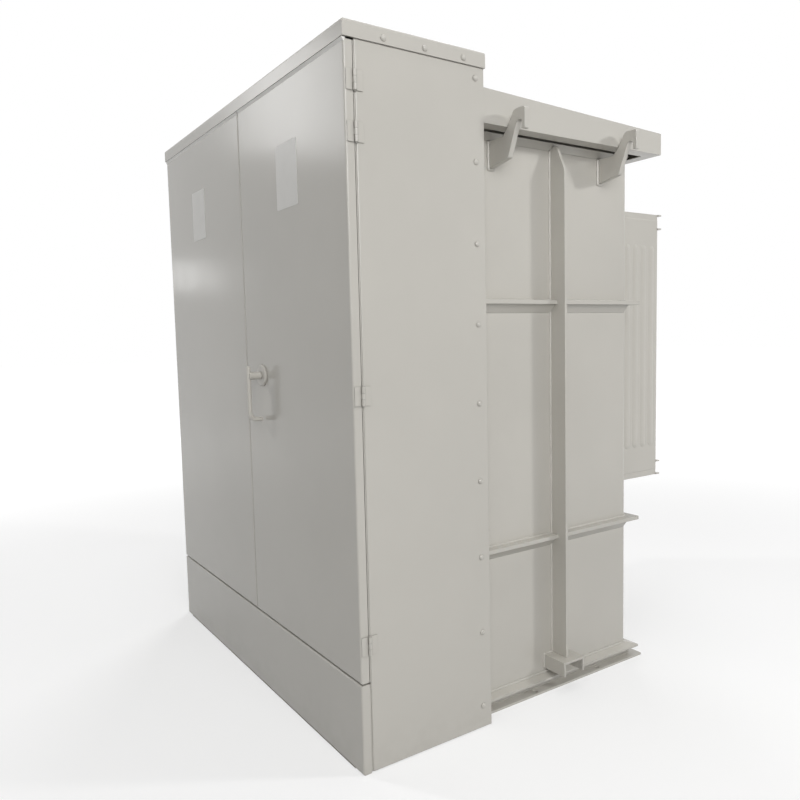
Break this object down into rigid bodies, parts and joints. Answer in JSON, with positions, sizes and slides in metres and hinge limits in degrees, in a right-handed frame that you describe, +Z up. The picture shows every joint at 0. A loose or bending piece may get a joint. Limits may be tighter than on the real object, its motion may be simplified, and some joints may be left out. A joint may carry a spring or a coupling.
{
  "type": "pad-mounted power transformer with terminal cabinet",
  "caption": "Oil-filled power transformer on a flat base: two-door terminal cabinet in front, ribbed tank with lifting hooks, and finned radiators at the back.",
  "frame": {"origin": "on the floor, under the middle of the whole unit", "axes": "+Z up; the doors face -Y; the radiators are at +Y; +X is the right-hand side seen from the front"},
  "size_m": [1.612, 1.54, 1.943],
  "materials": {
    "tank_paint": "satin warm grey paint",
    "door_paint": "satin warm grey paint"
  },
  "bodies": {
    "root": {"base_rail_right": "tank_paint", "base_rail_left": "tank_paint", "base_rail_rear": "tank_paint", "tank_floor": "tank_paint", "tank_shell": "tank_paint", "tank_filling": "tank_paint", "tank_front_plate": "tank_paint", "tank_rim": "tank_paint", "tank_lid": "tank_paint", "belt_lower": "tank_paint", "belt_upper": "tank_paint", "rib_right": "tank_paint", "rib_left": "tank_paint", "hook_front_right": "tank_paint", "hook_rear_right": "tank_paint", "hook_front_left": "tank_paint", "hook_rear_left": "tank_paint", "jack_pad_right": "tank_paint", "jack_pad_left": "tank_paint", "radiator_fins_right": "tank_paint", "radiator_fins_left": "tank_paint", "radiator_frame_right": "tank_paint", "radiator_frame_left": "tank_paint", "side_panel_right": "tank_paint", "side_panel_left": "tank_paint", "roof_cap": "tank_paint", "kick_panel": "door_paint", "door_header": "tank_paint", "hinge_pins_right": "tank_paint", "hinge_pins_left": "tank_paint"},
    "right_door": {"door_right": "door_paint", "hinge_leaves_right": "door_paint", "handle_rose": "tank_paint"},
    "left_door": {"door_left": "door_paint", "hinge_leaves_left": "door_paint"},
    "handle": {"door_handle": "tank_paint"}
  },
  "joints": [
    {"name": "right_door_hinge", "type": "hinge", "parent": "root", "child": "right_door", "pos_m": [0.7402, -0.6875, 1], "axis": [0, 0, 1], "range_deg": [0, 120]},
    {"name": "left_door_hinge", "type": "hinge", "parent": "root", "child": "left_door", "pos_m": [-0.7402, -0.6875, 1], "axis": [0, 0, -1], "range_deg": [0, 120]},
    {"name": "handle_turn", "type": "hinge", "parent": "right_door", "child": "handle", "pos_m": [0.165, -0.735, 1.052], "axis": [0, -1, 0], "range_deg": [0, 90]}
  ]
}
